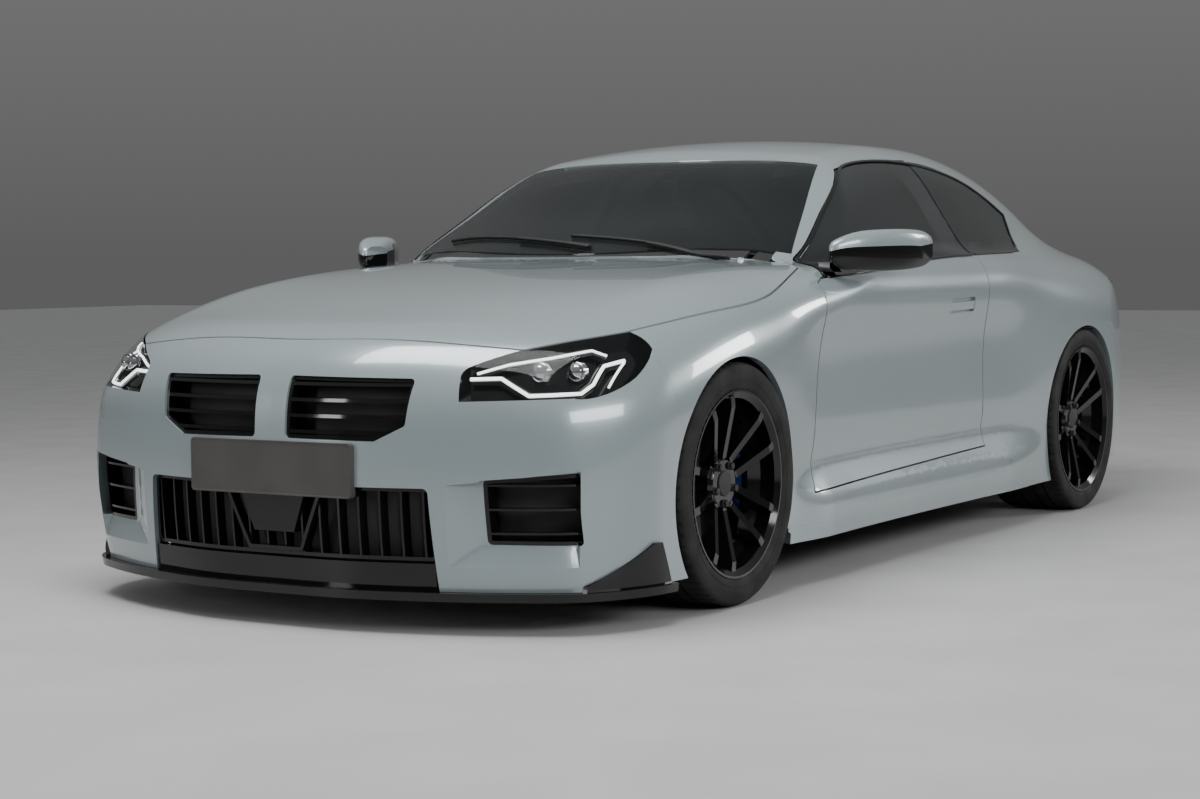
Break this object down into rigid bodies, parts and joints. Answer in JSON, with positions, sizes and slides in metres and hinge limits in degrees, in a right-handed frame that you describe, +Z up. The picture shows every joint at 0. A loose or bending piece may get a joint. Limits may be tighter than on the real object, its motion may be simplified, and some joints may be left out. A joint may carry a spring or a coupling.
{
  "type": "two-door sports coupe car",
  "caption": "Low two-door sports coupe with opening doors, bonnet, boot lid and fuel flap, steered front wheels and rolling tyres.",
  "frame": {"origin": "on the ground, midway between nose and tail on the middle line", "axes": "+X forward to the nose, +Y to the car's left, +Z up"},
  "size_m": [4.6013, 2.0558, 1.3661],
  "materials": {
    "paint": "glossy light grey-blue paint",
    "gloss_black": "gloss black",
    "trim_plastic": "matt black grained plastic",
    "tyre": "black rubber with tread",
    "disc_steel": "machined iron",
    "caliper_blue": "dark blue paint",
    "cast_metal": "dark cast metal",
    "glass": "tinted safety glass",
    "lamp_glass": "clear lens over dark housing",
    "red_lens": "dark red lens",
    "exhaust_steel": "dark polished steel",
    "cabin_plastic": "soft black plastic",
    "seat_leather": "black leather"
  },
  "bodies": {
    "body": {"side_frame_left": "paint", "side_frame_right": "paint", "front_fender_left": "paint", "front_fender_right": "paint", "front_bumper": "paint", "headlamps": "lamp_glass", "front_splitter": "gloss_black", "front_grilles": "gloss_black", "rear_bumper": "paint", "tail_lamps": "red_lens", "rear_diffuser": "gloss_black", "exhaust": "exhaust_steel", "roof_panel": "paint", "windscreen": "glass", "rear_window": "glass", "quarter_glass": "glass", "floor_pan": "paint", "engine": "cast_metal", "front_suspension": "cast_metal", "rear_calipers": "caliper_blue", "rear_suspension": "cast_metal", "dashboard": "cabin_plastic", "front_seats": "seat_leather", "rear_bench": "seat_leather", "cowl": "trim_plastic", "door_hinges": "cast_metal", "panel_hinges": "cast_metal", "wheel_liners": "trim_plastic", "inner_mirror": "cabin_plastic", "fuel_flap_hinge": "cast_metal"},
    "bonnet": {"bonnet": "paint"},
    "boot_lid": {"boot_lid": "paint"},
    "fuel_flap": {"fuel_flap": "paint"},
    "steering_wheel": {"steering_wheel": "cabin_plastic"},
    "door_left": {"door_left": "paint", "door_glass_left": "glass", "mirror_left": "paint"},
    "knuckle_left": {"knuckle_front_left": "cast_metal", "caliper_front_left": "caliper_blue"},
    "wheel_front_left": {"tyre_front_left": "tyre", "rim_front_left": "gloss_black", "brake_disc_front_left": "disc_steel"},
    "wheel_rear_left": {"tyre_rear_left": "tyre", "rim_rear_left": "gloss_black", "brake_disc_rear_left": "disc_steel"},
    "door_right": {"door_right": "paint", "door_glass_right": "glass", "mirror_right": "paint"},
    "knuckle_right": {"knuckle_front_right": "cast_metal", "caliper_front_right": "caliper_blue"},
    "wheel_front_right": {"tyre_front_right": "tyre", "rim_front_right": "gloss_black", "brake_disc_front_right": "disc_steel"},
    "wheel_rear_right": {"tyre_rear_right": "tyre", "rim_rear_right": "gloss_black", "brake_disc_rear_right": "disc_steel"}
  },
  "joints": [
    {"name": "steer_left", "type": "hinge", "parent": "body", "child": "knuckle_left", "pos_m": [1.424, 0.7235, 0.3375], "axis": [0, 0, 1], "range_deg": [-33, 33]},
    {"name": "door_left_hinge", "type": "hinge", "parent": "body", "child": "door_left", "pos_m": [0.75992, 0.85318, 0.5], "axis": [0, 0, -1], "range_deg": [0, 65]},
    {"name": "bonnet_hinge", "type": "hinge", "parent": "body", "child": "bonnet", "pos_m": [0.6808, 0, 0.91516], "axis": [0, -1, 0], "range_deg": [0, 48]},
    {"name": "boot_lid_hinge", "type": "hinge", "parent": "body", "child": "boot_lid", "pos_m": [-1.75375, 0, 0.99585], "axis": [0, 1, 0], "range_deg": [0, 70]},
    {"name": "spin_front_left", "type": "hinge", "parent": "knuckle_left", "child": "wheel_front_left", "pos_m": [1.424, 0.7955, 0.3375], "axis": [0, 1, 0], "continuous": true},
    {"name": "spin_rear_left", "type": "hinge", "parent": "body", "child": "wheel_rear_left", "pos_m": [-1.323, 0.7935, 0.3395], "axis": [0, 1, 0], "continuous": true},
    {"name": "steer_right", "type": "hinge", "parent": "body", "child": "knuckle_right", "pos_m": [1.424, -0.7235, 0.3375], "axis": [0, 0, 1], "range_deg": [-33, 33]},
    {"name": "spin_front_right", "type": "hinge", "parent": "knuckle_right", "child": "wheel_front_right", "pos_m": [1.424, -0.7955, 0.3375], "axis": [0, 1, 0], "continuous": true},
    {"name": "spin_rear_right", "type": "hinge", "parent": "body", "child": "wheel_rear_right", "pos_m": [-1.323, -0.7935, 0.3395], "axis": [0, 1, 0], "continuous": true},
    {"name": "door_right_hinge", "type": "hinge", "parent": "body", "child": "door_right", "pos_m": [0.75992, -0.85318, 0.5], "axis": [0, 0, 1], "range_deg": [0, 65]},
    {"name": "fuel_flap_hinge", "type": "hinge", "parent": "body", "child": "fuel_flap", "pos_m": [-1.4305, -0.9217, 0.8083], "axis": [0, 0.3614, 0.9324], "range_deg": [0, 75]},
    {"name": "steering_wheel_turn", "type": "hinge", "parent": "body", "child": "steering_wheel", "pos_m": [0.4485, 0.3772, 0.77405], "axis": [-0.9178, 0, 0.3971], "range_deg": [-495, 495]}
  ],
  "couplings": [
    {"joint": "steer_right", "follows": "steer_left", "ratio": 1},
    {"joint": "steering_wheel_turn", "follows": "steer_left", "ratio": 15}
  ]
}
